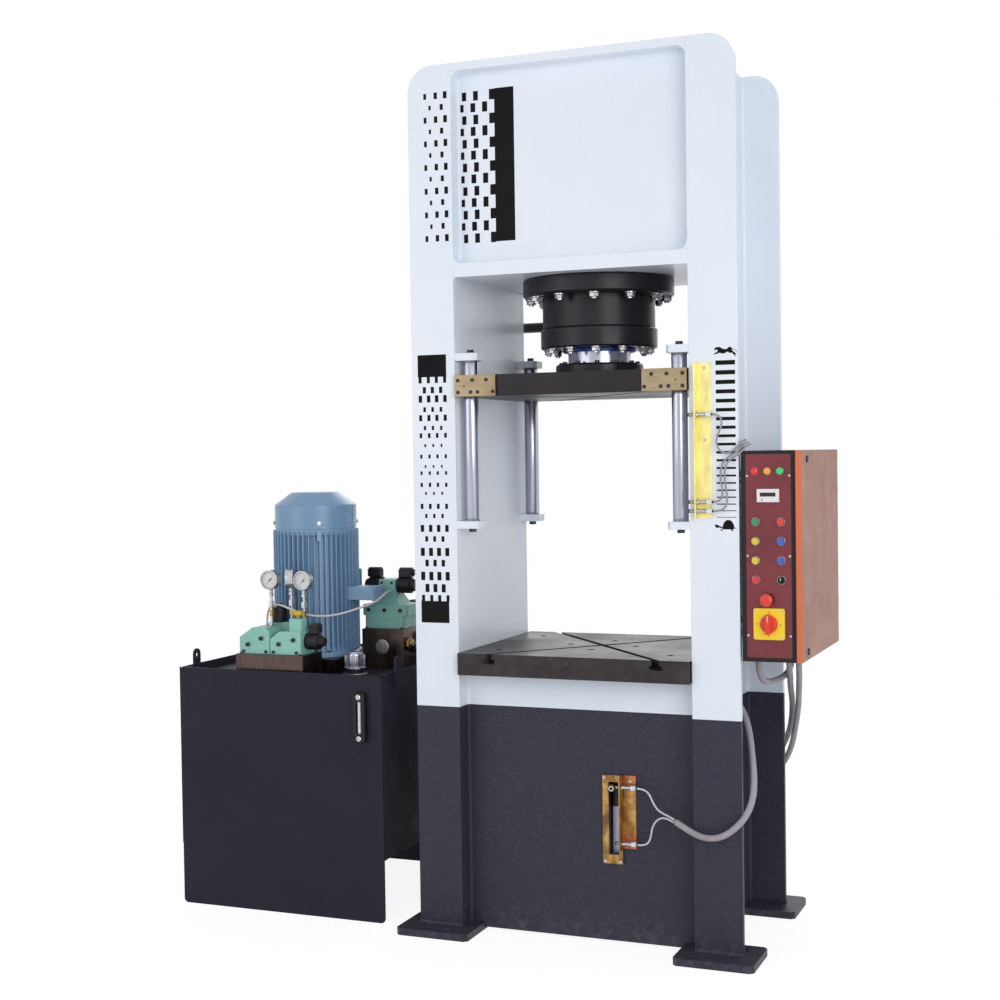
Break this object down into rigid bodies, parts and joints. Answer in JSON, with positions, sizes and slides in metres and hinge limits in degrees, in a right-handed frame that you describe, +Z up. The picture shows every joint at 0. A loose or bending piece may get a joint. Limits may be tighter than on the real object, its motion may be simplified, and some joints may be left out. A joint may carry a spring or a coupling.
{
  "type": "hydraulic deep-drawing press",
  "caption": "Two-column hydraulic press with guided platen, die cushion, wall-hung control cabinet and a separate tank-top power pack with motor, valves and gauges.",
  "frame": {"origin": "point of the floor under the main cylinder's axis, the centre of the anchor hole pattern", "axes": "+X to the right seen from the front, +Y to the back, +Z up"},
  "size_m": [2.243, 0.897, 2.863],
  "materials": {
    "white_paint": "smooth semi-gloss paint",
    "dark_paint": "textured semi-gloss paint",
    "tank_paint": "semi-gloss paint",
    "cylinder_paint": "semi-gloss black paint over turned steel",
    "ground_steel": "ground plate, lightly oiled",
    "bronze": "machined bronze",
    "chrome": "hard chrome, polished",
    "dark_steel": "black oxide",
    "zinc_yellow": "yellow zinc plating",
    "mint_paint": "gloss paint over casting",
    "motor_blue": "gloss paint over casting",
    "maroon": "printed film on sheet",
    "black_sheet": "gloss powder coat",
    "door_paint": "powder coat",
    "black_plastic": "moulded",
    "red_plastic": "moulded",
    "green_plastic": "moulded",
    "yellow_plastic": "moulded",
    "blue_plastic": "moulded",
    "brown_steel": "machined, heat-tinted",
    "pipe_steel": "drawn tube",
    "gauge_case": "pressed stainless case",
    "conduit_grey": "flexible covered conduit",
    "lead_black": "cable sheath"
  },
  "bodies": {
    "press_frame": {"column_edge_plates": "white_paint", "column_inner_plates": "white_paint", "foot_plates": "dark_paint", "crown_box_plates": "white_paint", "crown_bottom_plate": "white_paint", "bed_front_web": "white_paint", "bed_inner_plates": "white_paint", "bed_top_plate": "white_paint", "bolster": "ground_steel", "guide_pillars": "chrome", "pillar_brackets": "white_paint", "press_bolts": "dark_steel", "cylinder_barrel": "cylinder_paint", "cylinder_gland": "cylinder_paint", "cushion_barrel": "dark_paint", "switch_mounts": "zinc_yellow", "position_switches": "zinc_yellow", "cabinet_shell": "black_sheet", "control_panel": "maroon", "panel_fittings": "black_plastic", "cabinet_gear": "pipe_steel", "tank_plates": "tank_paint", "tank_lid": "tank_paint", "sight_gauge": "black_plastic", "motor_housing": "motor_blue", "motor_cowl": "motor_blue", "pump_body": "brown_steel", "manifold_blocks": "brown_steel", "valve_bodies": "mint_paint", "solenoid_coils": "black_plastic", "pressure_gauges": "gauge_case", "pressure_pipes": "pipe_steel", "power_conduits": "conduit_grey", "switch_conduit": "conduit_grey", "thin_leads": "lead_black"},
    "press_slide": {"platen": "ground_steel", "bronze_guide_plates": "bronze", "press_ram": "chrome"},
    "cushion": {"cushion_table": "ground_steel", "cushion_rod": "ground_steel"},
    "start_button": {"start_button": "green_plastic"},
    "stop_button": {"stop_button": "red_plastic"},
    "ram_up_button": {"ram_up_button": "yellow_plastic"},
    "ram_down_button": {"ram_down_button": "blue_plastic"},
    "cushion_up_button": {"cushion_up_button": "yellow_plastic"},
    "cushion_down_button": {"cushion_down_button": "blue_plastic"},
    "reset_button": {"reset_button": "red_plastic"},
    "emergency_stop": {"emergency_stop": "red_plastic"},
    "selector": {"selector_knob": "black_plastic"},
    "isolator": {"isolator_handle": "red_plastic"},
    "cabinet_door": {"cabinet_door": "door_paint"},
    "upper_lock": {"upper_door_lock": "black_plastic"},
    "lower_lock": {"lower_door_lock": "black_plastic"},
    "motor_rotor": {"motor_rotor": "dark_steel"},
    "left_knob": {"left_valve_knob": "yellow_plastic"},
    "top_knob": {"top_valve_knob": "yellow_plastic"},
    "needle_1": {"gauge_needle_1": "black_plastic"},
    "needle_2": {"gauge_needle_2": "black_plastic"},
    "needle_3": {"gauge_needle_3": "black_plastic"},
    "filler_cap": {"filler_cap": "chrome"}
  },
  "joints": [
    {"name": "platen_slide", "type": "slide", "parent": "press_frame", "child": "press_slide", "axis": [0, 0, 1], "range_m": [-0.4, 0]},
    {"name": "cushion_slide", "type": "slide", "parent": "press_frame", "child": "cushion", "axis": [0, 0, 1], "range_m": [-0.175, 0]},
    {"name": "start_button_press", "type": "slide", "parent": "press_frame", "child": "start_button", "axis": [0, 1, 0], "range_m": [0, 0.004], "stiffness_N_per_m": 400},
    {"name": "stop_button_press", "type": "slide", "parent": "press_frame", "child": "stop_button", "axis": [0, 1, 0], "range_m": [0, 0.004], "stiffness_N_per_m": 400},
    {"name": "ram_up_button_press", "type": "slide", "parent": "press_frame", "child": "ram_up_button", "axis": [0, 1, 0], "range_m": [0, 0.004], "stiffness_N_per_m": 400},
    {"name": "ram_down_button_press", "type": "slide", "parent": "press_frame", "child": "ram_down_button", "axis": [0, 1, 0], "range_m": [0, 0.004], "stiffness_N_per_m": 400},
    {"name": "cushion_up_button_press", "type": "slide", "parent": "press_frame", "child": "cushion_up_button", "axis": [0, 1, 0], "range_m": [0, 0.004], "stiffness_N_per_m": 400},
    {"name": "cushion_down_button_press", "type": "slide", "parent": "press_frame", "child": "cushion_down_button", "axis": [0, 1, 0], "range_m": [0, 0.004], "stiffness_N_per_m": 400},
    {"name": "reset_button_press", "type": "slide", "parent": "press_frame", "child": "reset_button", "axis": [0, 1, 0], "range_m": [0, 0.004], "stiffness_N_per_m": 400},
    {"name": "emergency_stop_press", "type": "slide", "parent": "press_frame", "child": "emergency_stop", "axis": [0, 1, 0], "range_m": [0, 0.006]},
    {"name": "selector_turn", "type": "hinge", "parent": "press_frame", "child": "selector", "pos_m": [0.681, -0.323, 1.191], "axis": [0, 1, 0], "range_deg": [-45, 45]},
    {"name": "isolator_turn", "type": "hinge", "parent": "press_frame", "child": "isolator", "pos_m": [0.643, -0.331, 1.057], "axis": [0, 1, 0], "range_deg": [0, 90]},
    {"name": "door_hinge", "type": "hinge", "parent": "press_frame", "child": "cabinet_door", "pos_m": [0.734, 0.286, 1.25], "axis": [0, 0, 1], "range_deg": [0, 110]},
    {"name": "upper_lock_turn", "type": "hinge", "parent": "cabinet_door", "child": "upper_lock", "pos_m": [0.72, -0.236, 1.557], "axis": [1, 0, 0], "range_deg": [-90, 0]},
    {"name": "lower_lock_turn", "type": "hinge", "parent": "cabinet_door", "child": "lower_lock", "pos_m": [0.72, -0.236, 0.965], "axis": [1, 0, 0], "range_deg": [0, 90]},
    {"name": "motor_spin", "type": "hinge", "parent": "press_frame", "child": "motor_rotor", "pos_m": [-1.112, 0.03, 1.1], "axis": [0, 0, 1], "continuous": true},
    {"name": "left_knob_turn", "type": "hinge", "parent": "press_frame", "child": "left_knob", "pos_m": [-1.27, -0.205, 0.925], "axis": [-1, 0, 0], "range_deg": [-180, 180]},
    {"name": "top_knob_turn", "type": "hinge", "parent": "press_frame", "child": "top_knob", "pos_m": [-1.042, -0.237, 1.035], "axis": [0, 0, 1], "range_deg": [-180, 180]},
    {"name": "needle_1_turn", "type": "hinge", "parent": "press_frame", "child": "needle_1", "pos_m": [-1.163, -0.215, 1.154], "axis": [0, 1, 0], "range_deg": [0, 270]},
    {"name": "needle_2_turn", "type": "hinge", "parent": "press_frame", "child": "needle_2", "pos_m": [-1.043, -0.194, 1.151], "axis": [0, 1, 0], "range_deg": [0, 270]},
    {"name": "needle_3_turn", "type": "hinge", "parent": "press_frame", "child": "needle_3", "pos_m": [-1.109, -0.17, 1.156], "axis": [0.9272, 0.3746, 0], "range_deg": [0, 270]},
    {"name": "filler_cap_turn", "type": "hinge", "parent": "press_frame", "child": "filler_cap", "pos_m": [-0.89, -0.105, 0.85], "axis": [0, 0, 1], "range_deg": [0, 60]}
  ]
}
